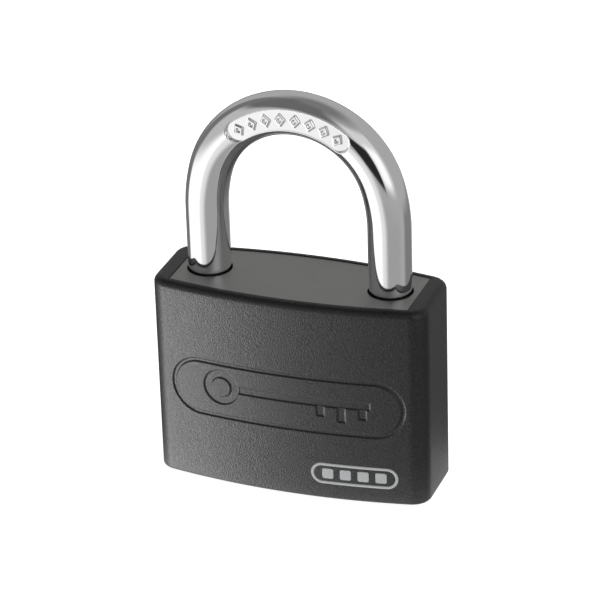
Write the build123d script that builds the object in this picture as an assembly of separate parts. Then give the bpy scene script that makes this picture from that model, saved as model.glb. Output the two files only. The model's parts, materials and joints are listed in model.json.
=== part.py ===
from build123d import *
import os
from math import cos, radians, sin, sqrt

os.makedirs("parts", exist_ok=True)

# Block padlock with a plastic jacket. Millimetres, +Z up along the shackle's legs, front towards -Y.
# The origin is the centre of the jacket's bottom face. The shackle's heel is at -X and its toe at +X.
# At rest the shackle is pushed home, the key has turned the plug to "open" and both bolts are drawn in.

# ---- Driving dimensions ----
jacket_width = 43.0
jacket_depth_middle = 17.4
jacket_depth_ends = 12.8
jacket_height = 32.0
jacket_corner_radius = 3.0
jacket_top_radius = 1.1
jacket_bottom_radius = 0.4
jacket_wall = 1.5
jacket_floor = 1.6

body_half_width = 18.6
body_gap = 0.05
body_drop = 0.15

rod_radius = 3.25
leg_spacing = 28.5
leg_straight = 9.9
shoulder_angle = 16.0
crown_radius = 13.85
leg_hole_radius = 3.45
buried_leg_radius = 3.05

plug_radius = 4.5
plug_clearance = 0.05
plug_bottom = 0.6
plug_top = 23.6

pin_count = 5
pin_pitch = 3.4
first_pin_height = 5.0
pin_radius = 1.2
pin_chamber_radius = 1.25
key_pin_lengths = [4.2, 3.4, 3.9, 3.1, 3.7]

bolt_depth = 5.2
bolt_radius = 2.3
bolt_nose_radius = 1.4
bolt_throw = 1.8
crank_pin_radius = 0.5

# ---- Heights and places worked out from them ----
body_top = jacket_height - body_drop
rod_base = body_top + 0.1
bolt_height = jacket_height - bolt_depth
heel_x = -leg_spacing / 2
toe_x = leg_spacing / 2
straight_top = jacket_height + leg_straight
arc_offset = (leg_spacing / 2 - crown_radius) / (1 - cos(radians(shoulder_angle)))
shoulder_radius = crown_radius + arc_offset
crown_centre = straight_top + arc_offset * sin(radians(shoulder_angle))
crank_radius = bolt_throw / 2 / cos(radians(45))

# Bow of the front and rear faces: both are arcs of this radius
face_bulge = (jacket_depth_middle - jacket_depth_ends) / 2
face_radius = ((jacket_width / 2) ** 2 + face_bulge**2) / (2 * face_bulge)
face_centre = face_radius - jacket_depth_middle / 2

# Steps of the heel leg, as heights
shoulder_height = 23.6
neck_radius = 1.6
flange_top = 12.3
flange_bottom = 11.0
toe_end = 23.3
toe_hole_bottom = 22.7
heel_bore_bottom = 3.6
follower_thickness = 1.2
follower_radius = 3.35
spigot_radius = 1.8
spigot_length = 2.0

# Locking notches in the legs
notch_height = 3.0
notch_depth_from_axis = 1.45

# Dowels across the body
shackle_dowel_radius = 0.9
shackle_dowel_x = heel_x + neck_radius + 0.2 + shackle_dowel_radius
shackle_dowel_height = 22.6
plug_dowel_radius = 0.75
plug_groove_radius = 3.7
plug_dowel_height = 22.1
plug_dowel_x = -(plug_groove_radius + 0.1 + plug_dowel_radius)
dowel_rear = 6.6
dowel_front = -4.8

# Pin chambers
driver_tip = plug_radius + 0.15
driver_length = 3.95
spring_end = 16.0
cap_radius = 1.5
key_pin_outer = -4.3
key_chamber_inner = 0.9

# Cartouche on the front
cartouche_centre_x = 0.2
cartouche_height = 15.7
cartouche_length = 36.9
cartouche_width = 9.5
groove_width = 0.7
engraving_depth = 0.2

# Badge on the front, lower right
badge_x = 10.75
badge_height = 4.35
badge_length = 13.3
badge_width = 3.5
badge_line = 0.45
badge_proud = 0.08
badge_sunk = 0.2
badge_gap = 0.02

# Recess stamped in the bow
recess_floor = 2.65
recess_radius = 13.7
recess_width = 3.25
recess_half_angle = 34.9
recess_turn = 0.6
mark_count = 8
mark_pitch = 9.6
mark_half_width = 0.8
mark_half_height = 1.0
mark_line = 0.4
mark_proud = 0.25


def upright(radius, bottom, top, x=0.0, y=0.0):
    """Cylinder along Z between two heights."""
    return Pos(x, y, (bottom + top) / 2) * Cylinder(radius, top - bottom)


def crosswise(radius, left, right, y, z):
    """Cylinder along X."""
    return Pos((left + right) / 2, y, z) * Rot(0, 90, 0) * Cylinder(radius, right - left)


def fore_and_aft(radius, front, rear, x, z):
    """Cylinder along Y."""
    return Pos(x, (front + rear) / 2, z) * Rot(90, 0, 0) * Cylinder(radius, rear - front)


def block(left, right, front, rear, bottom, top):
    """Box given by its six sides."""
    middle = Pos((left + right) / 2, (front + rear) / 2, (bottom + top) / 2)
    return middle * Box(right - left, rear - front, top - bottom)


def bowed_outline(half_width, inset):
    """Plan of a block whose front and rear bow outwards, set in from the jacket's faces by inset."""
    radius = face_radius - inset
    middle_y = radius - face_centre
    end_y = sqrt(radius**2 - half_width**2) - face_centre
    front = ThreePointArc((-half_width, -end_y), (0, -middle_y), (half_width, -end_y))
    right = Line((half_width, -end_y), (half_width, end_y))
    rear = ThreePointArc((half_width, end_y), (0, middle_y), (-half_width, end_y))
    left = Line((-half_width, end_y), (-half_width, -end_y))
    return make_face(front + right + rear + left)


def bowed_prism(half_width, inset, bottom, top, corner_radius=0.0):
    """Upright block with bowed front and rear faces."""
    outline = bowed_outline(half_width, inset)
    if corner_radius > 0:
        outline = fillet(outline.vertices(), corner_radius)
    return Pos(0, 0, bottom) * extrude(outline, top - bottom)


def front_layer(sketch, depth, proud=0.0):
    """A sketch on the bowed front face, from depth below the face to proud above it."""
    reach = jacket_depth_middle
    front_plane = Plane(origin=(0, 0, 0), x_dir=(1, 0, 0), z_dir=(0, -1, 0))
    prism = extrude(front_plane * sketch, reach)
    wide = jacket_width
    outer = bowed_prism(wide / 2, -proud, -1, jacket_height + 1)
    inner = bowed_prism(wide / 2 + 1, depth, -2, jacket_height + 2)
    return prism & (outer - inner)


def coil_spring(radius, wire_radius, length, turns):
    """Round-wire helical spring standing on the origin along Z, centre of wire to centre of wire."""
    helix = Helix(pitch=length / turns, height=length, radius=radius)
    section = Plane(origin=helix @ 0, z_dir=helix % 0) * Circle(wire_radius)
    return sweep(section, path=helix, is_frenet=True)


# ---- Outside ----
def key_pictogram():
    """Plain drawing of a key: a ring, a shaft and three bits."""
    ring_x = -10.2
    ring = Pos(ring_x, 0) * (Circle(2.9) - Circle(1.5))
    shaft = Pos(2.9, 0) * Rectangle(20.6, 1.3)
    sketch = ring + shaft
    for bit_x, bit_length in [(5.6, 1.7), (8.8, 2.4), (12.0, 1.7)]:
        sketch += Pos(bit_x, -0.6 - bit_length / 2) * Rectangle(1.3, bit_length)
    return sketch


def front_engraving():
    """Outline of a long rounded cartouche with a key drawn inside it."""
    outline = SlotOverall(cartouche_length, cartouche_width)
    outline -= SlotOverall(cartouche_length - 2 * groove_width, cartouche_width - 2 * groove_width)
    outline = Pos(cartouche_centre_x, cartouche_height) * outline
    drawing = Pos(cartouche_centre_x, cartouche_height + 0.5) * key_pictogram()
    return front_layer(outline, engraving_depth) + front_layer(drawing, engraving_depth)


def badge_sketches(grow=0.0):
    """Rounded outline and four plain tiles inside it, each grown outwards by grow."""
    ring = SlotOverall(badge_length + 2 * grow, badge_width + 2 * grow)
    inside = 2 * (badge_line + grow)
    ring -= SlotOverall(badge_length + 2 * grow - inside, badge_width + 2 * grow - inside)
    sketches = [Pos(badge_x, badge_height) * ring]
    tile_pitch = 2.7
    for index in range(4):
        tile_x = badge_x + (index - 1.5) * tile_pitch
        tile = RectangleRounded(1.7 + 2 * grow, 1.7 + 2 * grow, 0.3)
        sketches.append(Pos(tile_x, badge_height) * tile)
    return sketches


def badge_inlay():
    pieces = [front_layer(sketch, badge_sunk, badge_proud) for sketch in badge_sketches()]
    return Compound(children=[solid for piece in pieces for solid in piece.solids()])


def snap_ridges(radius, half_length):
    """Pair of half-round ridges low on the middle of the front and rear walls."""
    wall_y = face_radius - face_centre - jacket_wall
    ridge_height = 5.0
    front = crosswise(radius, -half_length, half_length, -wall_y, ridge_height)
    rear = crosswise(radius, -half_length, half_length, wall_y, ridge_height)
    return front + rear


def jacket():
    """Moulded sleeve with a floor; the plug's face shows through a round opening in the floor."""
    opening_radius = 5.0
    outer = bowed_prism(jacket_width / 2, 0, 0, jacket_height, jacket_corner_radius)
    outer = fillet(outer.faces().sort_by(Axis.Z)[-1].edges(), jacket_top_radius)
    outer = fillet(outer.faces().sort_by(Axis.Z)[0].edges(), jacket_bottom_radius)
    cavity = bowed_prism(
        body_half_width + body_gap, jacket_wall - body_gap, jacket_floor, jacket_height + 1
    )
    shell = outer - cavity - upright(opening_radius, -1, jacket_floor + 1)
    ridges = snap_ridges(0.4, 4.0) & bowed_prism(body_half_width, jacket_wall - 2 * body_gap, 1, 10)
    shell += ridges
    shell -= front_engraving()
    for sketch in badge_sketches(badge_gap):
        shell -= front_layer(sketch, badge_sunk + badge_gap, 1)
    return shell


# ---- Body ----
def pin_heights():
    return [first_pin_height + pin_pitch * index for index in range(pin_count)]


def lock_body():
    """Aluminium block drilled for the legs, the bolts, the plug, the pins and the two dowels."""
    solid = bowed_prism(body_half_width, jacket_wall, jacket_floor + body_gap, body_top)
    for leg_x, hole_bottom in [(heel_x, heel_bore_bottom), (toe_x, toe_hole_bottom)]:
        solid -= upright(leg_hole_radius, hole_bottom, body_top + 1, leg_x)
    solid -= crosswise(bolt_radius + 0.05, heel_x, body_half_width + 1, 0, bolt_height)
    solid -= upright(plug_radius + plug_clearance, 0, plug_top + 0.05)
    solid -= upright(crank_radius + crank_pin_radius + 0.4, plug_top, bolt_height - 0.6)
    for height in pin_heights():
        solid -= crosswise(pin_chamber_radius, plug_radius - 1, spring_end + 0.5, 0, height)
        solid -= crosswise(cap_radius, spring_end, body_half_width + 1, 0, height)
    far_rear = jacket_depth_middle
    solid -= fore_and_aft(
        shackle_dowel_radius, dowel_front, far_rear, shackle_dowel_x, shackle_dowel_height
    )
    solid -= fore_and_aft(plug_dowel_radius, dowel_front, far_rear, plug_dowel_x, plug_dowel_height)
    solid -= snap_ridges(0.5, 4.2)
    return solid


def shackle_retaining_pin():
    return fore_and_aft(
        shackle_dowel_radius - 0.01, dowel_front, dowel_rear - 1, shackle_dowel_x, shackle_dowel_height
    )


def plug_retaining_pin():
    return fore_and_aft(
        plug_dowel_radius - 0.01, dowel_front, dowel_rear, plug_dowel_x, plug_dowel_height
    )


def bolt_channel_plug():
    """Disc pressed into the side, where the bolt channel was drilled from."""
    inner_end = toe_x + leg_hole_radius + 0.05
    return crosswise(bolt_radius + 0.04, inner_end, body_half_width - 0.05, 0, bolt_height)


def chamber_caps():
    """Five pressed caps, one behind each pin spring."""
    caps = []
    for height in pin_heights():
        caps.append(crosswise(cap_radius - 0.01, spring_end, body_half_width - 0.05, 0, height))
    return Compound(children=caps)


# ---- Shackle ----
def bow_path():
    """Centreline from the toe leg over the crown to the heel leg."""
    toe_leg = Line((toe_x, rod_base), (toe_x, straight_top))
    toe_arc = CenterArc((toe_x - shoulder_radius, straight_top), shoulder_radius, 0, shoulder_angle)
    crown = CenterArc((0, crown_centre), crown_radius, shoulder_angle, 180 - 2 * shoulder_angle)
    heel_arc = CenterArc(
        (heel_x + shoulder_radius, straight_top), shoulder_radius, 180 - shoulder_angle, shoulder_angle
    )
    heel_leg = Line((heel_x, straight_top), (heel_x, rod_base))
    return Plane.XZ * (toe_leg + toe_arc + crown + heel_arc + heel_leg)


def diamond(half_width, half_height):
    return Polygon((half_width, 0), (0, half_height), (-half_width, 0), (0, -half_height))


def bow_recess():
    """Flat-bottomed curved slot in the front of the bow, less eight raised diamond outlines."""
    face = Plane(origin=(0, -recess_floor, 0), x_dir=(1, 0, 0), z_dir=(0, -1, 0))
    first = 90 + recess_turn - recess_half_angle
    arc = CenterArc((0, crown_centre), recess_radius, first, 2 * recess_half_angle)
    slot = extrude(face * SlotArc(arc, recess_width), 2)
    mark = diamond(mark_half_width, mark_half_height)
    mark -= diamond(mark_half_width - mark_line, mark_half_height - mark_line * 1.25)
    for index in range(mark_count):
        turn = recess_turn + (index - (mark_count - 1) / 2) * mark_pitch
        placed = Pos(0, crown_centre) * Rot(0, 0, turn) * Pos(0, recess_radius) * mark
        slot -= extrude(face * placed, mark_proud)
    return slot


def shackle():
    """Round steel bow: short toe leg, long heel leg with a neck and a flange, a locking notch in each."""
    start = Plane(origin=(toe_x, 0, rod_base), x_dir=(1, 0, 0), z_dir=(0, 0, 1))
    bow = sweep(start * Circle(rod_radius), path=bow_path())
    bow -= bow_recess()
    toe = upright(buried_leg_radius, toe_end, rod_base, toe_x)
    toe = chamfer(toe.edges().sort_by(Axis.Z)[0], 0.6)
    heel = upright(buried_leg_radius, shoulder_height, rod_base, heel_x)
    heel += upright(neck_radius, flange_top, shoulder_height, heel_x)
    heel += upright(buried_leg_radius, flange_bottom, flange_top, heel_x)
    notch_low = bolt_height - notch_height / 2
    notch_high = bolt_height + notch_height / 2
    reach = rod_radius + 1
    toe -= block(toe_x - reach, toe_x - notch_depth_from_axis, -reach, reach, notch_low, notch_high)
    heel -= block(heel_x + notch_depth_from_axis, heel_x + reach, -reach, reach, notch_low, notch_high)
    return bow + toe + heel


def shackle_follower():
    """Cup between the heel leg and its spring."""
    disc = upright(follower_radius, flange_bottom - follower_thickness, flange_bottom, heel_x)
    spigot_top = flange_bottom - follower_thickness
    return disc + upright(spigot_radius, spigot_top - spigot_length, spigot_top, heel_x)


def shackle_spring():
    wire = 0.35
    bottom = heel_bore_bottom + wire
    length = flange_bottom - follower_thickness - heel_bore_bottom - 2 * wire
    return Pos(heel_x, 0, bottom) * coil_spring(2.55, wire, length, 6)


# ---- Plug and pins ----
def cylinder_plug():
    """Plug with its keyway, five pin chambers, retaining groove and two crank pins."""
    solid = upright(plug_radius, plug_bottom, plug_top)
    solid = chamfer(solid.edges().sort_by(Axis.Z)[0], 0.25)
    groove_low = plug_dowel_height - plug_dowel_radius - 0.05
    groove_high = plug_dowel_height + plug_dowel_radius + 0.05
    ring = upright(plug_radius + 1, groove_low, groove_high)
    solid -= ring - upright(plug_groove_radius, groove_low, groove_high)
    keyway_top = 20.4
    solid -= block(-0.95, 0.95, -2.9, 0.4, plug_bottom - 1, keyway_top)
    solid -= block(-0.15, 0.95, 0.3, 3.3, plug_bottom - 1, keyway_top)
    for height in pin_heights():
        solid -= fore_and_aft(pin_chamber_radius, -plug_radius - 1, key_chamber_inner, 0, height)
    offset = bolt_throw / 2
    for side in (-1, 1):
        pin_top = bolt_height - 0.4
        solid += upright(crank_pin_radius, plug_top, pin_top, side * offset, side * offset)
    return solid


def key_pin(index):
    """Bottom pin: blunt cone towards the keyway, small chamfer at the shear line."""
    height = pin_heights()[index]
    inner = key_pin_outer + key_pin_lengths[index]
    solid = fore_and_aft(pin_radius, key_pin_outer, inner, 0, height)
    solid = chamfer(solid.edges().sort_by(Axis.Y)[-1], 0.7)
    return chamfer(solid.edges().sort_by(Axis.Y)[0], 0.2)


def driver_pin(index):
    """Top pin, pressed towards the plug by its spring."""
    height = pin_heights()[index]
    solid = crosswise(pin_radius, driver_tip, driver_tip + driver_length, 0, height)
    return chamfer(solid.edges().sort_by(Axis.X)[0], 0.15)


def pin_spring(index):
    wire = 0.14
    start = driver_tip + driver_length + wire
    length = spring_end - start - wire
    lying = Rot(0, 90, 0) * coil_spring(0.95, wire, length, 11)
    return Pos(start, 0, pin_heights()[index]) * lying


# ---- Bolts ----
nose_tip = toe_x - buried_leg_radius - 0.5
nose_length = 2.2
shank_inner = 2.9
tongue_end = 2.6
bolt_spring_y = -1.0
bolt_spring_lift = 0.7
bolt_spring_pocket = 4.5


def bolt():
    """Bolt for the +X side: nose, shank, and a half-round tongue slotted for its crank pin."""
    shank_outer = nose_tip - nose_length
    nose = crosswise(bolt_nose_radius, shank_outer, nose_tip, 0, bolt_height)
    nose = chamfer(nose.edges().sort_by(Axis.X)[-1], 0.5)
    shank = crosswise(bolt_radius, shank_inner, shank_outer, 0, bolt_height)
    tongue = crosswise(bolt_radius, -tongue_end, shank_inner, 0, bolt_height)
    tongue -= block(-10, 10, -0.05, 10, 0, 2 * bolt_height)
    play = crank_pin_radius + 0.1
    slot_half = bolt_throw / 2 + play
    slot_front = -(crank_radius + play)
    slot_rear = -(bolt_throw / 2 - play)
    tongue -= block(-slot_half, slot_half, slot_front, slot_rear, 0, bolt_height - 0.1)
    return nose + shank + tongue


def toe_bolt():
    return bolt()


def heel_bolt():
    """The same bolt turned round, with a pocket for the spring that pushes the two apart."""
    turned = Rot(0, 0, 180) * bolt()
    pocket_end = -shank_inner - bolt_spring_pocket
    pocket_height = bolt_height + bolt_spring_lift
    return turned - crosswise(0.75, pocket_end, -shank_inner + 0.1, bolt_spring_y, pocket_height)


def bolt_spring():
    wire = 0.12
    start = -shank_inner - bolt_spring_pocket + wire
    length = -tongue_end - wire - start
    lying = Rot(0, 90, 0) * coil_spring(0.55, wire, length, 11)
    return Pos(start, bolt_spring_y, bolt_height + bolt_spring_lift) * lying


# ---- Files ----
parts = {
    "jacket": jacket(),
    "badge_inlay": badge_inlay(),
    "lock_body": lock_body(),
    "shackle_retaining_pin": shackle_retaining_pin(),
    "plug_retaining_pin": plug_retaining_pin(),
    "bolt_channel_plug": bolt_channel_plug(),
    "chamber_caps": chamber_caps(),
    "shackle": shackle(),
    "shackle_follower": shackle_follower(),
    "shackle_spring": shackle_spring(),
    "cylinder_plug": cylinder_plug(),
    "toe_bolt": toe_bolt(),
    "heel_bolt": heel_bolt(),
    "bolt_spring": bolt_spring(),
}
for pin_index in range(pin_count):
    parts[f"key_pin_{pin_index + 1}"] = key_pin(pin_index)
    parts[f"driver_pin_{pin_index + 1}"] = driver_pin(pin_index)
    parts[f"pin_spring_{pin_index + 1}"] = pin_spring(pin_index)

for part_name, part_shape in parts.items():
    export_step(part_shape, f"parts/{part_name}.step")
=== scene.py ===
import json
from math import atan2, cos, pi, radians, sin, sqrt

import bmesh
import bpy
import numpy as np
from mathutils import Matrix, Vector


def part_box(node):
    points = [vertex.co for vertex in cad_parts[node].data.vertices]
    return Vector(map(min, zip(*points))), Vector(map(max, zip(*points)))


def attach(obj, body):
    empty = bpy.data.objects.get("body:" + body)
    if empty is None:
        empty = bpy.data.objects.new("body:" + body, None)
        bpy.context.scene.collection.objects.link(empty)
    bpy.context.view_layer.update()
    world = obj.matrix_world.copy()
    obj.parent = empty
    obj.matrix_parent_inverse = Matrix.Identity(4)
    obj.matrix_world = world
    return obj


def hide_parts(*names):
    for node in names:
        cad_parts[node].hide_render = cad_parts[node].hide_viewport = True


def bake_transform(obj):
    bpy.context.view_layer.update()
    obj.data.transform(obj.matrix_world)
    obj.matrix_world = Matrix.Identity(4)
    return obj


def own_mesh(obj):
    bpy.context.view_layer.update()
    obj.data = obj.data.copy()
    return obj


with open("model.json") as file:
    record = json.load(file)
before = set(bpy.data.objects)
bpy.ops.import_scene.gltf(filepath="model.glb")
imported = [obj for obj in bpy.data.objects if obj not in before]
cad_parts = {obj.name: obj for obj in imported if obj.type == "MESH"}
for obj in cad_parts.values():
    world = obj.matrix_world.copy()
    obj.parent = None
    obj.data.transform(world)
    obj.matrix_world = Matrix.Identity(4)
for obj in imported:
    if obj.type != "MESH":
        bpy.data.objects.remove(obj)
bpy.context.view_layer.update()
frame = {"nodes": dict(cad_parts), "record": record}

MM = 0.001

# ---- Places read from the frame ----
jacket_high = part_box("jacket")[1]
body_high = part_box("lock_body")[1]
badge_low, badge_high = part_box("badge_inlay")
shackle_low, shackle_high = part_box("shackle")
slots = {part["node"]: part["material_slot"] for part in frame["record"]["subparts"]}
mounts = {mount["name"]: mount for mount in frame["record"]["mounts"]}
toe_leg = mounts["shackle_toe_leg"]
half_width = jacket_high.x
half_depth = jacket_high.y
height = jacket_high.z
rod_radius = toe_leg["dims"]["r_mm"] * MM
toe_x = toe_leg["pos_m"][0]
heel_x = -toe_x

# ---- Jacket details ----
depth_at_ends = 12.8 * MM
corner_radius = 3.0 * MM
top_radius = 1.1 * MM
bottom_radius = 0.4 * MM
wall = 1.45 * MM
floor_top = 1.6 * MM
opening_radius = 5.0 * MM
rim_edge = 0.1 * MM
opening_edge = 0.25 * MM
body_gap = 0.05 * MM
cavity_corner = 0.06 * MM

face_bulge = half_depth - depth_at_ends / 2
face_radius = (half_width**2 + face_bulge**2) / (2 * face_bulge)
face_centre = face_radius - half_depth

# The engraving is worked out in millimetres
cartouche_x = 0.2
cartouche_z = 15.7
cartouche_length = 36.9
cartouche_width = 9.5
groove_width = 0.7
engraving_depth = 0.2
engraving_edge = 0.14
grid_step = 0.09
grid_margin = 0.3
key_rise = 0.5
key_ring_x = -10.2
key_ring_outer = 2.9
key_ring_inner = 1.5
key_shaft_left = -7.4
key_shaft_right = 13.2
key_half_shaft = 0.65
key_bit_top = -0.6
key_bits = [(5.6, 1.7), (8.8, 2.4), (12.0, 1.7)]

badge_proud = 0.075 * MM
badge_line = 0.45 * MM
badge_sunk = 0.02 * MM
badge_edge = 0.05 * MM
tile_count = 4
tile_pitch = 2.7 * MM
tile_half_side = 0.85 * MM
tile_corner = 0.3 * MM

# ---- Shackle details ----
crown_radius = 13.85 * MM
shoulder_angle = radians(16.0)
buried_radius = 3.05 * MM
neck_radius = 1.6 * MM
exposed_base = body_high.z + 0.1 * MM
toe_end = 23.3 * MM
toe_chamfer = 0.6 * MM
rod_edge = 0.06 * MM
flange_chamfer = 0.2 * MM
shoulder_z = 23.6 * MM
flange_top = 12.3 * MM
flange_bottom = shackle_low.z
notch_low = 25.3 * MM
notch_high = 28.3 * MM
notch_flat = 1.45 * MM

# The recess in the bow is worked out in millimetres
recess_floor = 2.65
recess_radius = 13.7
recess_width = 3.25
recess_half_angle = 34.9
recess_turn = -0.6
recess_edge = 0.16
mark_count = 8
mark_pitch = 9.6
mark_half_width = 0.8
mark_half_height = 1.0
mark_line = 0.36
mark_proud = 0.25
mark_edge = 0.06

crown_z = shackle_high.z - rod_radius - crown_radius
arc_offset = (toe_x - crown_radius) / (1 - cos(shoulder_angle))
shoulder_radius = crown_radius + arc_offset
straight_top = crown_z - arc_offset * sin(shoulder_angle)

# ---- Springs that give way as the padlock moves ----
pin_count = 5
pin_spring_wire = 0.14 * MM
pin_spring_turns = 11
shackle_spring_wire = 0.35 * MM
shackle_spring_turns = 6


# ---- Mesh tools ----
weld_distance = 0.002 * MM


def smoothstep(low, high, value):
    t = np.clip((value - low) / (high - low), 0, 1)
    return t * t * (3 - 2 * t)


def new_object(name, vertices, faces, body, material):
    """Smooth mesh that rides on a body, or on none if it is to bend between two."""
    mesh = bpy.data.meshes.new(name)
    mesh.from_pydata([tuple(v) for v in vertices], [], [tuple(f) for f in faces])
    mesh.validate()
    obj = bpy.data.objects.new(name, mesh)
    bpy.context.scene.collection.objects.link(obj)
    mesh.materials.append(material)
    mesh.polygons.foreach_set("use_smooth", np.ones(len(mesh.polygons), bool))
    if body:
        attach(obj, body)
    return obj


def grid_faces(rows, columns, wrap_rows):
    index = np.arange(rows * columns).reshape(rows, columns)
    if wrap_rows:
        index = np.vstack([index, index[:1]])
    index = np.hstack([index, index[:, :1]])
    corners = [index[:-1, :-1], index[:-1, 1:], index[1:, 1:], index[1:, :-1]]
    return np.stack(corners, axis=-1).reshape(-1, 4)


def grid_object(name, points, body, material, wrap_rows=False):
    """Mesh over a (rows, columns, 3) grid of points. Each row closes on itself."""
    rows, columns = points.shape[:2]
    faces = grid_faces(rows, columns, wrap_rows)
    return new_object(name, points.reshape(-1, 3), faces.tolist(), body, material)


def mark_sharp_rows(obj, columns, sharp_rows):
    """Marks the edges that run along the given rows of a grid as sharp."""
    edges = np.zeros(len(obj.data.edges) * 2, int)
    obj.data.edges.foreach_get("vertices", edges)
    rows = edges.reshape(-1, 2) // columns
    sharp = (rows[:, 0] == rows[:, 1]) & np.isin(rows[:, 0], sharp_rows)
    attribute = obj.data.attributes.new("sharp_edge", "BOOLEAN", "EDGE")
    attribute.data.foreach_set("value", sharp)


def weld(obj):
    """Joins points that meet, which closes end caps, and turns faces outwards."""
    work = bmesh.new()
    work.from_mesh(obj.data)
    bmesh.ops.remove_doubles(work, verts=work.verts, dist=weld_distance)
    bmesh.ops.recalc_face_normals(work, faces=work.faces)
    work.to_mesh(obj.data)
    work.free()


# ---- Jacket ----
def spread(first, last, count):
    """Evenly spaced values that leave out the last, where the next stretch starts."""
    return np.linspace(first, last, count, endpoint=False)


# The outline's points, as shares of each stretch: the bowed front takes up most of the width
front_width_share = 0.88
front_share = spread(-1, 1, round(2 * half_width * front_width_share / MM / grid_step))
rear_share = spread(1, -1, 72)
corner_share = spread(0, 1, 12)
side_share = spread(-1, 1, 10)


def bowed_loop(half, inset, corner):
    """Plan outline, set in from the outer faces, as (columns, 2), anticlockwise from the front left."""
    radius = face_radius - inset
    fillet_x = half - corner
    reach = sqrt((radius - corner) ** 2 - fillet_x**2)
    fillet_y = reach - face_centre
    tilt = atan2(fillet_x, reach)

    def bow(share, side):
        angle = share * tilt
        return np.stack([radius * np.sin(angle), side * (radius * np.cos(angle) - face_centre)], axis=-1)

    def turn(centre_x, centre_y, first, last):
        angle = first + (last - first) * corner_share
        x = centre_x + corner * np.cos(angle)
        return np.stack([x, centre_y + corner * np.sin(angle)], axis=-1)

    def straight(x, share):
        return np.stack([np.full_like(share, x), share * fillet_y], axis=-1)

    quarter = pi / 2
    return np.vstack(
        [
            bow(front_share, -1),
            turn(fillet_x, -fillet_y, -quarter + tilt, 0),
            straight(half, side_share),
            turn(fillet_x, fillet_y, 0, quarter - tilt),
            bow(rear_share, 1),
            turn(-fillet_x, fillet_y, quarter + tilt, pi),
            straight(-half, -side_share),
            turn(-fillet_x, -fillet_y, pi, 3 * quarter - tilt),
        ]
    )


def outer_loop(inset):
    return bowed_loop(half_width - inset, inset, corner_radius - inset)


def circle_loop(radius):
    """Circle whose points lie in the same directions as the outer outline's."""
    outline = outer_loop(0)
    return outline * (radius / np.linalg.norm(outline, axis=1))[:, None]


def at_height(loop, z):
    return np.hstack([loop, np.full((len(loop), 1), z)])


def capsule_distance(x, z, length, width):
    """Distance to a long rounded outline centred on the origin, negative inside, millimetres."""
    along = np.maximum(np.abs(x) - (length - width) / 2, 0)
    return np.hypot(along, z) - width / 2


def box_distance(x, z, left, right, low, high):
    dx = np.abs(x - (left + right) / 2) - (right - left) / 2
    dz = np.abs(z - (low + high) / 2) - (high - low) / 2
    outside = np.hypot(np.maximum(dx, 0), np.maximum(dz, 0))
    return outside + np.minimum(np.maximum(dx, dz), 0)


def key_distance(x, z):
    """Distance to a plain drawing of a key: a ring, a shaft and three bits."""
    middle = (key_ring_outer + key_ring_inner) / 2
    half_line = (key_ring_outer - key_ring_inner) / 2
    ring = np.abs(np.hypot(x - key_ring_x, z) - middle) - half_line
    shaft = box_distance(x, z, key_shaft_left, key_shaft_right, -key_half_shaft, key_half_shaft)
    shape = np.minimum(ring, shaft)
    for bit_x, bit_length in key_bits:
        left, right = bit_x - key_half_shaft, bit_x + key_half_shaft
        bit = box_distance(x, z, left, right, key_bit_top - bit_length, key_bit_top)
        shape = np.minimum(shape, bit)
    return shape


def engraving(x, z):
    """Depth of the front's engraving at a point, millimetres."""
    x = x - cartouche_x
    z = z - cartouche_z
    middle_length = cartouche_length - groove_width
    middle_width = cartouche_width - groove_width
    groove = np.abs(capsule_distance(x, z, middle_length, middle_width)) - groove_width / 2
    outline = np.minimum(groove, key_distance(x, z - key_rise))
    return engraving_depth * smoothstep(0, -engraving_edge, outline)


def wall_heights():
    """Heights of the wall's rows: close together across the cartouche."""
    low = cartouche_z - cartouche_width / 2 - grid_margin
    high = cartouche_z + cartouche_width / 2 + grid_margin
    fine = np.arange(low, high, grid_step) * MM
    below = np.linspace(bottom_radius, low * MM, 10, endpoint=False)
    above = np.linspace(high * MM, height - top_radius, 10)
    return np.concatenate([below, fine, above])


def jacket_shell(material):
    """The whole jacket, as rings that run up the outside, over the rim and down the inside."""
    cavity_half = body_high.x + body_gap
    cavity = bowed_loop(cavity_half, wall, cavity_corner)
    cavity_wide = bowed_loop(cavity_half + rim_edge, wall - rim_edge, cavity_corner)
    rings = [at_height(circle_loop(opening_radius + opening_edge), 0)]
    sharp = [0]
    for share in np.linspace(0, 1, 6)[:-1]:
        turn = share * pi / 2
        inset = bottom_radius * (1 - sin(turn))
        rings.append(at_height(outer_loop(inset), bottom_radius * (1 - cos(turn))))
    first_wall = len(rings)
    for z in wall_heights():
        rings.append(at_height(outer_loop(0), z))
    last_wall = len(rings)
    for share in np.linspace(0, 1, 10)[1:]:
        turn = share * pi / 2
        inset = top_radius * (1 - cos(turn))
        rings.append(at_height(outer_loop(inset), height - top_radius * (1 - sin(turn))))
    rings.append(at_height(cavity_wide, height))
    rings.append(at_height(cavity, height - rim_edge))
    rings.append(at_height(cavity, floor_top))
    rings.append(at_height(circle_loop(opening_radius), floor_top))
    rings.append(at_height(circle_loop(opening_radius), opening_edge))
    sharp += range(len(rings) - 5, len(rings))
    points = np.array(rings)
    front = points[first_wall:last_wall, : len(front_share)]
    depth = engraving(front[..., 0] / MM, front[..., 2] / MM) * MM
    angle = np.arcsin(front[..., 0] / face_radius)
    front[..., 0] -= depth * np.sin(angle)
    front[..., 1] += depth * np.cos(angle)
    obj = grid_object("jacket_shell", points, "padlock_body", material, wrap_rows=True)
    mark_sharp_rows(obj, points.shape[1], sharp)
    return obj


# ---- Badge ----
def on_front(x, z, proud):
    """Point over the bowed front face."""
    angle = np.arcsin(x / face_radius)
    radius = face_radius + proud
    return np.stack([radius * np.sin(angle), face_centre - radius * np.cos(angle), z], axis=-1)


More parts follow.
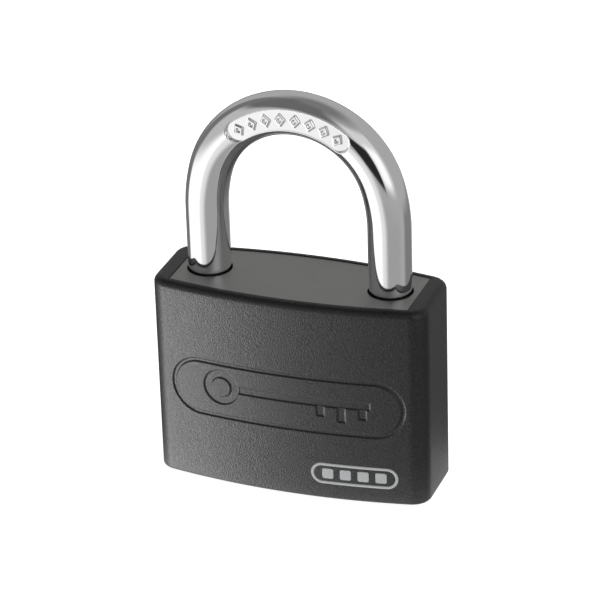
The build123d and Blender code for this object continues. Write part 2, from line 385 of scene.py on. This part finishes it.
def badge_outline(material):
    """Raised line round the badge, with softened edges."""
    middle_x = (badge_low.x + badge_high.x) / 2
    middle_z = (badge_low.z + badge_high.z) / 2
    half_line = badge_line / 2
    end_radius = (badge_high.z - badge_low.z) / 2 - half_line
    half_straight = (badge_high.x - badge_low.x) / 2 - half_line - end_radius
    turns = np.linspace(-pi / 2, pi / 2, 33)
    bend = np.stack([half_straight + end_radius * np.cos(turns), end_radius * np.sin(turns)], axis=-1)
    bend_out = np.stack([np.cos(turns), np.sin(turns)], axis=-1)
    along = np.linspace(half_straight, -half_straight, 26)[1:-1]
    straight = np.stack([along, np.full_like(along, end_radius)], axis=-1)
    straight_out = np.stack([np.zeros_like(along), np.ones_like(along)], axis=-1)
    path = np.vstack([bend, straight, -bend, -straight])
    outward = np.vstack([bend_out, straight_out, -bend_out, -straight_out])
    section = [
        (-half_line, -badge_sunk),
        (-half_line, badge_proud - badge_edge),
        (-half_line + badge_edge, badge_proud),
        (half_line - badge_edge, badge_proud),
        (half_line, badge_proud - badge_edge),
        (half_line, -badge_sunk),
    ]
    rows = []
    for across, proud in section:
        flat = path + outward * across
        rows.append(on_front(flat[:, 0] + middle_x, flat[:, 1] + middle_z, proud))
    obj = grid_object("badge_outline", np.array(rows), "padlock_body", material, wrap_rows=True)
    weld(obj)
    obj.data.set_sharp_from_angle(angle=radians(60))
    return obj


def badge_tile(name, centre_x, material):
    """Small rounded square tile."""
    centre_z = (badge_low.z + badge_high.z) / 2
    quarters = np.arange(4) * pi / 2
    turns = np.concatenate([np.linspace(first, first + pi / 2, 7) for first in quarters])
    corners = np.repeat(np.array([(1, 1), (-1, 1), (-1, -1), (1, -1)]), 7, axis=0)
    arms = corners * (tile_half_side - tile_corner)
    outward = np.stack([np.cos(turns), np.sin(turns)], axis=-1)
    edge = arms + outward * tile_corner
    top = arms + outward * (tile_corner - badge_edge)
    middle = np.zeros_like(edge)
    rows = []
    for flat, proud in [
        (middle, -badge_sunk),
        (edge, -badge_sunk),
        (edge, badge_proud - badge_edge),
        (top, badge_proud),
        (middle, badge_proud),
    ]:
        rows.append(on_front(flat[:, 0] + centre_x, flat[:, 1] + centre_z, proud))
    obj = grid_object(name, np.array(rows), "padlock_body", material)
    weld(obj)
    obj.data.set_sharp_from_angle(angle=radians(30))
    return obj


def badge(material):
    """Outline with a row of plain tiles inside it."""
    middle_x = (badge_low.x + badge_high.x) / 2
    pieces = [badge_outline(material)]
    for index in range(tile_count):
        tile_x = middle_x + (index - (tile_count - 1) / 2) * tile_pitch
        pieces.append(badge_tile(f"badge_tile_{index + 1}", tile_x, material))
    return pieces


# ---- Shackle ----
def bow_stations():
    """Centreline stations from the toe's end to the heel's end.

    Each is (x, z, outward x, outward z, radius, reach towards the other leg).
    """

    def leg(x, z, radius, reach=None):
        return (x, z, 1 if x > 0 else -1, 0, radius, radius if reach is None else reach)

    def arc(centre_x, centre_z, radius, angle):
        x, z = centre_x + radius * cos(angle), centre_z + radius * sin(angle)
        return (x, z, cos(angle), sin(angle), rod_radius, rod_radius)

    stations = [
        leg(toe_x, toe_end, 0.0),
        leg(toe_x, toe_end, buried_radius - toe_chamfer),
        leg(toe_x, toe_end + toe_chamfer, buried_radius),
        leg(toe_x, notch_low, buried_radius),
        leg(toe_x, notch_low, buried_radius, notch_flat),
        leg(toe_x, notch_high, buried_radius, notch_flat),
        leg(toe_x, notch_high, buried_radius),
        leg(toe_x, exposed_base, buried_radius),
    ]
    exposed = [leg(toe_x, exposed_base, rod_radius - rod_edge)]
    for z in np.linspace(exposed_base + rod_edge, straight_top, 12, endpoint=False):
        exposed.append(leg(toe_x, z, rod_radius))
    for angle in np.linspace(0, shoulder_angle, 8, endpoint=False):
        exposed.append(arc(toe_x - shoulder_radius, straight_top, shoulder_radius, angle))
    fine_from = pi / 2 - radians(46)
    plain = np.linspace(shoulder_angle, fine_from, 16, endpoint=False)
    stamped = np.linspace(fine_from, pi / 2, 92, endpoint=False)
    for angle in np.concatenate([plain, stamped]):
        exposed.append(arc(0, crown_z, crown_radius, angle))
    mirrored = [(-x, z, -out_x, out_z, radius, reach) for x, z, out_x, out_z, radius, reach in exposed]
    stations += exposed + [arc(0, crown_z, crown_radius, pi / 2)] + mirrored[::-1]
    stations += [
        leg(heel_x, exposed_base, buried_radius),
        leg(heel_x, notch_high, buried_radius),
        leg(heel_x, notch_high, buried_radius, notch_flat),
        leg(heel_x, notch_low, buried_radius, notch_flat),
        leg(heel_x, notch_low, buried_radius),
        leg(heel_x, shoulder_z, buried_radius),
        leg(heel_x, shoulder_z, neck_radius),
        leg(heel_x, flange_top, neck_radius),
        leg(heel_x, flange_top, buried_radius),
        leg(heel_x, flange_bottom + flange_chamfer, buried_radius),
        leg(heel_x, flange_bottom, buried_radius - flange_chamfer),
        leg(heel_x, flange_bottom, 0.0),
    ]
    return stations


def mark_distance(along, across):
    """Distance to the nearest of the raised diamond outlines, from arc length and radial offset."""
    pitch = radians(mark_pitch) * recess_radius
    index = np.clip(np.round(along / pitch - 0.5), -mark_count / 2, mark_count / 2 - 1)
    local = along - (index + 0.5) * pitch
    slope = np.hypot(mark_half_width, mark_half_height)
    reach = np.abs(local) * mark_half_height + np.abs(across) * mark_half_width
    edge = (reach - mark_half_width * mark_half_height) / slope
    return np.abs(edge + mark_line / 2) - mark_line / 2


def stamp_recess(points):
    """Presses the curved slot with its raised diamonds into the front of the bow."""
    x, y, z = points[..., 0] / MM, points[..., 1] / MM, points[..., 2] / MM
    from_centre = np.hypot(x, z - crown_z / MM)
    angle = np.arctan2(x, z - crown_z / MM) - radians(recess_turn)
    along = angle * recess_radius
    across = from_centre - recess_radius
    half_length = radians(recess_half_angle) * recess_radius
    edge = np.hypot(np.maximum(np.abs(along) - half_length, 0), across) - recess_width / 2
    inside = smoothstep(recess_edge / 2, -recess_edge / 2, edge)
    inside *= (y < 0) & (z > crown_z / MM)
    mark = mark_proud * smoothstep(mark_edge, -mark_edge, mark_distance(along, across))
    floor_y = -(recess_floor + mark)
    points[..., 1] = (y + (np.maximum(floor_y, y) - y) * inside) * MM


def bow(material):
    """The whole shackle as one swept skin, with closer points across the stamped front."""
    first, last = radians(-90 - 40), radians(-90 + 40)
    front = np.linspace(first, last, 49)
    rest = np.linspace(last, first + 2 * pi, 50)[1:-1]
    turns = np.concatenate([front, rest])
    rows = []
    for x, z, out_x, out_z, radius, reach in bow_stations():
        across = np.maximum(radius * np.cos(turns), -reach)
        rows.append(np.stack([x + across * out_x, radius * np.sin(turns), z + across * out_z], axis=-1))
    points = np.array(rows)
    stamp_recess(points)
    obj = grid_object("shackle_bow", points, "shackle", material)
    weld(obj)
    obj.data.set_sharp_from_angle(angle=radians(62))
    return obj


# ---- Springs ----
def coil(name, start, along, side, length, radius, wire, turns, body, material):
    """Round wire wound about an axis, from the middle of the wire at one end to the other."""
    up = np.cross(along, side)
    around = np.linspace(0, 2 * pi, 8, endpoint=False)[:, None]
    rows = []
    for share in np.linspace(0, 1, turns * 20 + 1):
        turn = 2 * pi * turns * share
        outward = side * cos(turn) + up * sin(turn)
        onward = along * length + (up * cos(turn) - side * sin(turn)) * radius * 2 * pi * turns
        across = np.cross(onward / np.linalg.norm(onward), outward)
        middle = start + along * length * share + outward * radius
        rows.append(middle + wire * (np.cos(around) * outward + np.sin(around) * across))
    first_cap, last_cap = [np.full_like(row, row.mean(axis=0)) for row in (rows[0], rows[-1])]
    obj = grid_object(name, np.array([first_cap, *rows, last_cap]), body, material)
    weld(obj)
    obj.data.set_sharp_from_angle(angle=radians(60))
    return obj


def pin_spring(number, material):
    """Spring behind a driver pin. It shortens as the pin slides back."""
    low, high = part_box(f"pin_spring_{number}")
    wire, turns = pin_spring_wire, pin_spring_turns
    start = np.array([low.x + wire, (low.y + high.y) / 2, (low.z + high.z) / 2])
    along, side = np.array([1, 0, 0]), np.array([0, 0, -1])
    radius = (high.y - low.y) / 2 - wire
    length = high.x - low.x
    name = f"pin_spring_{number}_coil"
    obj = coil(name, start, along, side, length - 2 * wire, radius, wire, turns, "padlock_body", material)
    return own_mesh(obj)


def shackle_spring(material):
    """Spring under the heel leg. It lengthens as the shackle lifts."""
    low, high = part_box("shackle_spring")
    wire, turns = shackle_spring_wire, shackle_spring_turns
    start = np.array([heel_x, 0, low.z + wire])
    along, side = np.array([0, 0, 1]), np.array([1, 0, 0])
    radius = (high.y - low.y) / 2 - wire
    length = high.z - low.z - 2 * wire
    obj = coil("shackle_spring_coil", start, along, side, length, radius, wire, turns, None, material)
    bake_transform(obj)
    return obj


# ---- Materials ----
class Nodes:
    """Short names for building a node tree."""

    def __init__(self, tree):
        self.tree = tree
        tree.nodes.clear()

    def add(self, kind, inputs=None, **settings):
        node = self.tree.nodes.new(kind)
        for key, value in settings.items():
            setattr(node, key, value)
        for key, value in (inputs or {}).items():
            self.put(node.inputs[key], value)
        return node

    def put(self, socket, value):
        if isinstance(value, bpy.types.NodeSocket):
            self.tree.links.new(value, socket)
        else:
            socket.default_value = value

    def math(self, operation, a, b=0.0):
        return self.add("ShaderNodeMath", {0: a, 1: b}, operation=operation).outputs[0]

    def remap(self, value, from_low, from_high, to_low, to_high, smooth=False):
        """Value carried from one range to another, and held at its ends."""
        kind = "SMOOTHSTEP" if smooth else "LINEAR"
        inputs = dict(zip(range(5), [value, from_low, from_high, to_low, to_high]))
        return self.add("ShaderNodeMapRange", inputs, interpolation_type=kind).outputs[0]

    def place(self, scale):
        """Object coordinates in millimetres, stretched by scale."""
        where = self.add("ShaderNodeTexCoord").outputs["Object"]
        stretch = tuple(s / MM for s in scale)
        return self.add("ShaderNodeMapping", {"Vector": where, "Scale": stretch}).outputs[0]

    def noise(self, scale, detail=3.0, roughness=0.55, size=1.0):
        inputs = {"Vector": self.place(scale), "Scale": size, "Detail": detail, "Roughness": roughness}
        return self.add("ShaderNodeTexNoise", inputs).outputs["Fac"]

    def tint(self, low, high, factor):
        """Colour between two others."""
        inputs = {0: factor, 6: (*low, 1), 7: (*high, 1)}
        return self.add("ShaderNodeMix", inputs, data_type="RGBA").outputs[2]

    def bump(self, relief, distance, strength=1.0):
        inputs = {"Height": relief, "Distance": distance, "Strength": strength}
        return self.add("ShaderNodeBump", inputs).outputs[0]

    def surface(self, **inputs):
        """Ends the tree in a Principled surface. An underscore in a name stands for a space."""
        named = {key.replace("_", " "): value for key, value in inputs.items()}
        shader = self.add("ShaderNodeBsdfPrincipled", named)
        out = self.add("ShaderNodeOutputMaterial")
        self.tree.links.new(shader.outputs[0], out.inputs[0])


def material(name):
    """New material and the builder of its node tree."""
    made = bpy.data.materials.new(name)
    made.use_nodes = True
    return made, Nodes(made.node_tree)


def black_plastic():
    """Moulded black plastic with the fine grain of a spark-eroded mould, dull when seen edge on."""
    made, n = material("moulded_black_plastic")
    grain = n.remap(n.noise((1, 1, 1), detail=1.0, roughness=0.5, size=4.6), 0.3, 0.7, 0, 1)
    fine = n.noise((1, 1, 1), detail=1.0, roughness=0.5, size=11.0)
    cloud = n.noise((1, 1, 1), detail=2.0, size=0.12)
    speck = n.math("ADD", n.math("MULTIPLY", grain, 0.7), n.math("MULTIPLY", cloud, 0.3))
    colour = n.tint((0.007, 0.007, 0.0075), (0.016, 0.016, 0.0165), speck)
    rough = n.remap(fine, 0.3, 0.7, 0.31, 0.38)
    normal = n.bump(grain, 0.020 * MM, 1.0)
    glance = n.add("ShaderNodeLayerWeight", {"Blend": 0.5}).outputs["Facing"]
    gloss = n.remap(glance, 0.70, 0.86, 0.5, 0.04, smooth=True)
    gloss = n.math("MULTIPLY", gloss, n.remap(grain, 0, 1, 0.79, 1.21))
    n.surface(Base_Color=colour, Roughness=rough, Specular_IOR_Level=gloss, Normal=normal)
    return made


def satin_aluminium():
    """Machined aluminium with fine lines along the body's length."""
    made, n = material("satin_aluminium")
    lines = n.noise((0.12, 14, 0.12), detail=3.0, size=1.0)
    cloud = n.noise((0.5, 0.5, 0.5), detail=3.0, size=0.6)
    worn = n.math("ADD", lines, n.math("MULTIPLY", cloud, 0.4))
    colour = n.tint((0.30, 0.30, 0.295), (0.40, 0.40, 0.39), worn)
    rough = n.remap(cloud, 0.3, 0.7, 0.44, 0.52)
    normal = n.bump(lines, 0.008 * MM, 0.6)
    n.surface(Base_Color=colour, Metallic=1.0, Roughness=rough, Normal=normal)
    return made


def polished_chrome():
    """Bright chrome plate with a faint polishing haze."""
    made, n = material("polished_chrome")
    haze = n.noise((0.25, 0.25, 0.25), detail=4.0, size=1.0)
    colour = n.tint((0.83, 0.83, 0.84), (0.88, 0.88, 0.89), haze)
    rough = n.remap(haze, 0.3, 0.7, 0.045, 0.085)
    swirl = n.noise((0.6, 0.6, 0.6), detail=2.0, size=1.0)
    n.surface(Base_Color=colour, Metallic=1.0, Roughness=rough, Normal=n.bump(swirl, 0.004 * MM, 0.5))
    return made


def turned_metal(name, low, high, roughness):
    """Small turned part with a fine grain and dull patches."""
    made, n = material(name)
    grain = n.noise((6, 6, 6), detail=2.0, size=1.0)
    cloud = n.noise((0.8, 0.8, 0.8), detail=3.0, size=1.0)
    colour = n.tint(low, high, cloud)
    rough = n.remap(grain, 0.3, 0.7, roughness * 0.8, roughness * 1.25)
    n.surface(Base_Color=colour, Metallic=1.0, Roughness=rough, Normal=n.bump(grain, 0.006 * MM, 0.5))
    return made


def white_foil():
    """Silver-white foil pressed on the raised badge."""
    made, n = material("silver_white_foil")
    worn = n.noise((1, 1, 1), detail=4.0, size=2.5)
    colour = n.tint((0.58, 0.59, 0.60), (0.70, 0.71, 0.72), worn)
    rough = n.remap(worn, 0.3, 0.7, 0.28, 0.42)
    n.surface(Base_Color=colour, Metallic=0.1, Roughness=rough, Normal=n.bump(worn, 0.01 * MM, 0.4))
    return made


# ---- Stage, lights and camera ----
camera_azimuth = radians(20.612)
camera_elevation = radians(26.4423)
camera_roll = radians(-1.82)
camera_distance = 0.49726
camera_aim_z = 0.030
camera_shift_right = -0.0000364
camera_shift_up = -0.0015364
focal_length = 200.67

# Surroundings: even up to one elevation, darker from another up, with patches laid over them
horizon_level = 0.43
zenith_level = 0.20
even_below = 45
dark_above = 75

# In degrees: azimuth, half width, elevation, half height, softness across and up. Then brightness
sky_patches = [
    (-45, 65, 57, 22, 24, 14, 0.15),
    (-104, 16, 10, 50, 12, 20, 0.18),
    (-50, 38, 15, 20, 14, 16, 0.54),
    (40, 36, -52, 34, 30, 20, 0.38),
    (-14, 16, -50, 42, 24, 14, 0.86),
    (-58, 37, -50, 43, 14, 20, 1.25),
    (54, 30, 22, 26, 14, 12, 0.72),
    (58, 15, 13, 16, 12, 12, 1.15),
    (21, 17, 6.5, 15.5, 5, 6, 0.022),
    (136, 34, -26, 12, 20, 10, 0.23),
    (150, 50, -60, 26, 24, 24, 0.07),
    (-145, 30, -28, 28, 16, 20, 0.18),
]

# The floor lies just under the base, so that the two faces don't mix from below
floor_z = -0.1 * MM
floor_half_side = 3.0
floor_glow = 0.84
bounce_level = 0.7
bounce_reach_mm = 5.0


def direction(azimuth, elevation):
    """Unit vector towards an azimuth (0 is the front, positive towards +X) and elevation."""
    flat = cos(elevation)
    return Vector((sin(azimuth) * flat, -cos(azimuth) * flat, sin(elevation)))


def add_camera():
    """Camera at its azimuth and elevation about a point on the padlock's axis, rolled a little."""
    back = direction(camera_azimuth, camera_elevation)
    right = Vector((cos(camera_azimuth), sin(camera_azimuth), 0))
    up = back.cross(right)
    place = Vector((0, 0, camera_aim_z)) + right * camera_shift_right + up * camera_shift_up
    place += back * camera_distance
    x_axis = right * cos(camera_roll) + up * sin(camera_roll)
    y_axis = -right * sin(camera_roll) + up * cos(camera_roll)
    data = bpy.data.cameras.new("camera")
    data.lens = focal_length
    data.sensor_width = 36.0
    data.clip_start = 0.01
    camera = bpy.data.objects.new("camera", data)
    turn = Matrix((x_axis, y_axis, back)).transposed().to_4x4()
    camera.matrix_world = Matrix.Translation(place) @ turn
    bpy.context.scene.collection.objects.link(camera)
    bpy.context.scene.camera = camera


def add_world():
    """Studio surroundings: soft bright and dark patches placed by direction."""
    world = bpy.data.worlds.new("studio")
    bpy.context.scene.world = world
    world.use_nodes = True
    n = Nodes(world.node_tree)
    where = n.add("ShaderNodeTexCoord").outputs["Generated"]
    split = n.add("ShaderNodeSeparateXYZ", {0: where}).outputs
    azimuth = n.math("DEGREES", n.math("ARCTAN2", split[0], n.math("MULTIPLY", split[1], -1.0)))
    elevation = n.math("DEGREES", n.math("ARCSINE", split[2]))
    level = n.remap(elevation, even_below, dark_above, horizon_level, zenith_level, smooth=True)
    for centre, half, middle, half_height, soft, soft_height, brightness in sky_patches:
        turn = n.math("SUBTRACT", azimuth, centre)
        turn = n.add("ShaderNodeMath", {0: turn, 1: 180.0, 2: -180.0}, operation="WRAP").outputs[0]
        beside = n.math("ABSOLUTE", turn)
        above = n.math("ABSOLUTE", n.math("SUBTRACT", elevation, middle))
        outer, inner = half + soft / 2, half - soft / 2
        across = n.remap(beside, outer, inner, 0, 1, smooth=True)
        outer, inner = half_height + soft_height / 2, half_height - soft_height / 2
        upright = n.remap(above, outer, inner, 0, 1, smooth=True)
        mask = n.math("MULTIPLY", across, upright)
        kept = n.math("MULTIPLY", level, n.math("SUBTRACT", 1.0, mask))
        level = n.math("ADD", kept, n.math("MULTIPLY", mask, brightness))
    shade = n.add("ShaderNodeBackground", {"Color": (1, 1, 1, 1), "Strength": level})
    out = n.add("ShaderNodeOutputWorld")
    n.tree.links.new(shade.outputs[0], out.inputs[0])


def add_lamp(name, azimuth, elevation, distance, size, power, lit=()):
    """Soft round lamp. With lit given, it lights only those objects."""
    data = bpy.data.lights.new(name, "AREA")
    data.shape = "DISK"
    data.size = size
    data.energy = power
    lamp = bpy.data.objects.new(name, data)
    target = Vector((0, 0, height / 2))
    lamp.location = target + direction(radians(azimuth), radians(elevation)) * distance
    lamp.rotation_mode = "QUATERNION"
    lamp.rotation_quaternion = (target - lamp.location).to_track_quat("-Z", "Y")
    bpy.context.scene.collection.objects.link(lamp)
    if lit:
        chosen = bpy.data.collections.new(name + "_lights")
        for obj in lit:
            chosen.objects.link(obj)
        lamp.light_linking.receiver_collection = chosen
    return lamp


def pale_floor():
    """Pale from above and clear from below. In reflections it only glows softly near the padlock."""
    made, n = material("pale_floor")
    cloud = n.noise((0.02, 0.02, 0.02), detail=1.0)
    colour = n.tint((0.90, 0.90, 0.90), (0.93, 0.93, 0.93), cloud)
    pale = n.add("ShaderNodeBsdfPrincipled", {"Base Color": colour, "Roughness": 0.9})
    pale.inputs["Emission Color"].default_value = (1, 1, 1, 1)
    pale.inputs["Emission Strength"].default_value = floor_glow
    split = n.add("ShaderNodeSeparateXYZ", {0: n.place((1, 1, 1))}).outputs
    beside = n.math("MAXIMUM", n.math("SUBTRACT", n.math("ABSOLUTE", split[0]), half_width / MM), 0.0)
    before = n.math("MAXIMUM", n.math("SUBTRACT", n.math("ABSOLUTE", split[1]), half_depth / MM), 0.0)
    away = n.math("SQRT", n.math("ADD", n.math("POWER", beside, 2.0), n.math("POWER", before, 2.0)))
    fade = n.math("EXPONENT", n.math("DIVIDE", away, -bounce_reach_mm))
    bounce = n.add("ShaderNodeEmission", {"Strength": n.math("MULTIPLY", fade, bounce_level)})
    clear = n.add("ShaderNodeBsdfTransparent")
    reflected = n.add("ShaderNodeAddShader", {0: clear.outputs[0], 1: bounce.outputs[0]})
    below = n.add("ShaderNodeNewGeometry").outputs["Backfacing"]
    seen = n.add("ShaderNodeLightPath").outputs["Is Camera Ray"]
    front = n.add("ShaderNodeMixShader", {0: below, 1: pale.outputs[0], 2: clear.outputs[0]})
    mixed = n.add("ShaderNodeMixShader", {0: seen, 1: reflected.outputs[0], 2: front.outputs[0]})
    out = n.add("ShaderNodeOutputMaterial")
    n.tree.links.new(mixed.outputs[0], out.inputs[0])
    return made


def add_floor():
    turns = [(-1, -1), (1, -1), (1, 1), (-1, 1)]
    corners = [(x * floor_half_side, y * floor_half_side, floor_z) for x, y in turns]
    mesh = bpy.data.meshes.new("floor")
    mesh.from_pydata(corners, [], [(0, 1, 2, 3)])
    mesh.materials.append(pale_floor())
    floor = bpy.data.objects.new("floor", mesh)
    bpy.context.scene.collection.objects.link(floor)
    floor.visible_diffuse = False
    floor.visible_shadow = False


# ---- Build ----
plastic = black_plastic()
aluminium = satin_aluminium()
chrome = polished_chrome()
foil = white_foil()
brass = turned_metal("turned_brass", (0.62, 0.45, 0.20), (0.74, 0.56, 0.28), 0.30)
zinc = turned_metal("zinc_plated_steel", (0.46, 0.46, 0.47), (0.58, 0.58, 0.60), 0.32)
spring = turned_metal("spring_steel", (0.34, 0.34, 0.36), (0.45, 0.45, 0.47), 0.26)
finish_of_slot = {
    "black_plastic": plastic,
    "white_foil": foil,
    "aluminium": aluminium,
    "chromed_steel": chrome,
    "brass": brass,
    "plated_steel": zinc,
    "spring_steel": spring,
}

# CAD nodes that stay in view take the finish of their slot
for node, slot_name in slots.items():
    cad_mesh = frame["nodes"][node].data
    cad_mesh.materials.clear()
    cad_mesh.materials.append(finish_of_slot[slot_name])

# Pieces built here stand for the CAD nodes named beside them
shell = jacket_shell(plastic)
stands_for = [(shell, "jacket"), (bow(chrome), "shackle"), (shackle_spring(spring), "shackle_spring")]
stands_for += [(piece, "badge_inlay") for piece in badge(foil)]
stands_for += [(pin_spring(number, spring), f"pin_spring_{number}") for number in range(1, pin_count + 1)]
for piece, node in stands_for:
    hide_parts(node)

add_camera()
add_world()
add_lamp("left_softbox", -50, -28, 0.6, 0.34, 1.65, [shell])
add_lamp("rear_fill", -160, 0, 0.6, 0.3, 10.0).visible_glossy = False
add_floor()
bpy.context.scene.view_settings.view_transform = "Standard"
